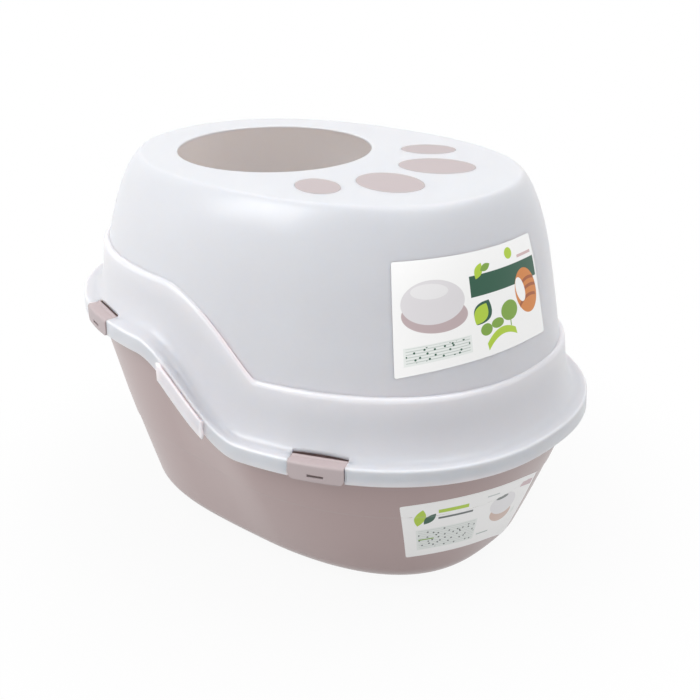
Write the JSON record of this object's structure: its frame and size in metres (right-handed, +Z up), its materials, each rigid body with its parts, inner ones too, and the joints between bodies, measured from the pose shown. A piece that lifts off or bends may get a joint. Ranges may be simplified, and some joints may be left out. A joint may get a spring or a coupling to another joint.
{
  "type": "top entry litter box",
  "caption": "Oval litter tray with a wave-shaped rim under a domed hood with a round entry through its flat top, held down by hinged rim clips.",
  "frame": {"origin": "on the floor, under the middle of the rim's length and width", "axes": "+X towards the low end of the rim, +Y towards the left side, +Z up"},
  "size_m": [0.57, 0.4354, 0.395],
  "materials": {
    "tray_plastic": "matte dusty mauve moulded polypropylene with a fine texture",
    "hood_plastic": "glossy off-white moulded polypropylene with a faint lilac cast",
    "trim_plastic": "satin light mauve moulded polypropylene"
  },
  "bodies": {
    "tray": {"tray": "tray_plastic"},
    "hood": {"hood": "hood_plastic", "outer_right_toe": "trim_plastic", "inner_right_toe": "trim_plastic", "inner_left_toe": "trim_plastic", "outer_left_toe": "trim_plastic"},
    "front_right_clip": {"front_right_clip": "trim_plastic"},
    "front_left_clip": {"front_left_clip": "trim_plastic"},
    "rear_right_clip": {"rear_right_clip": "trim_plastic"},
    "rear_left_clip": {"rear_left_clip": "trim_plastic"}
  },
  "joints": [
    {"name": "hood_lift", "type": "slide", "parent": "tray", "child": "hood", "axis": [0, 0, 1], "range_m": [0, 0.25]},
    {"name": "front_right_clip_swing", "type": "hinge", "parent": "hood", "child": "front_right_clip", "pos_m": [0.14545, -0.1788, 0.1711], "axis": [-0.9367, -0.3503, 0], "range_deg": [0, 100]},
    {"name": "front_left_clip_swing", "type": "hinge", "parent": "hood", "child": "front_left_clip", "pos_m": [0.14545, 0.1788, 0.1711], "axis": [0.9367, -0.3503, 0], "range_deg": [0, 100]},
    {"name": "rear_right_clip_swing", "type": "hinge", "parent": "hood", "child": "rear_right_clip", "pos_m": [-0.14545, -0.1788, 0.2471], "axis": [-0.9367, 0.3503, 0], "range_deg": [0, 100]},
    {"name": "rear_left_clip_swing", "type": "hinge", "parent": "hood", "child": "rear_left_clip", "pos_m": [-0.14545, 0.1788, 0.2471], "axis": [0.9367, 0.3503, 0], "range_deg": [0, 100]}
  ]
}
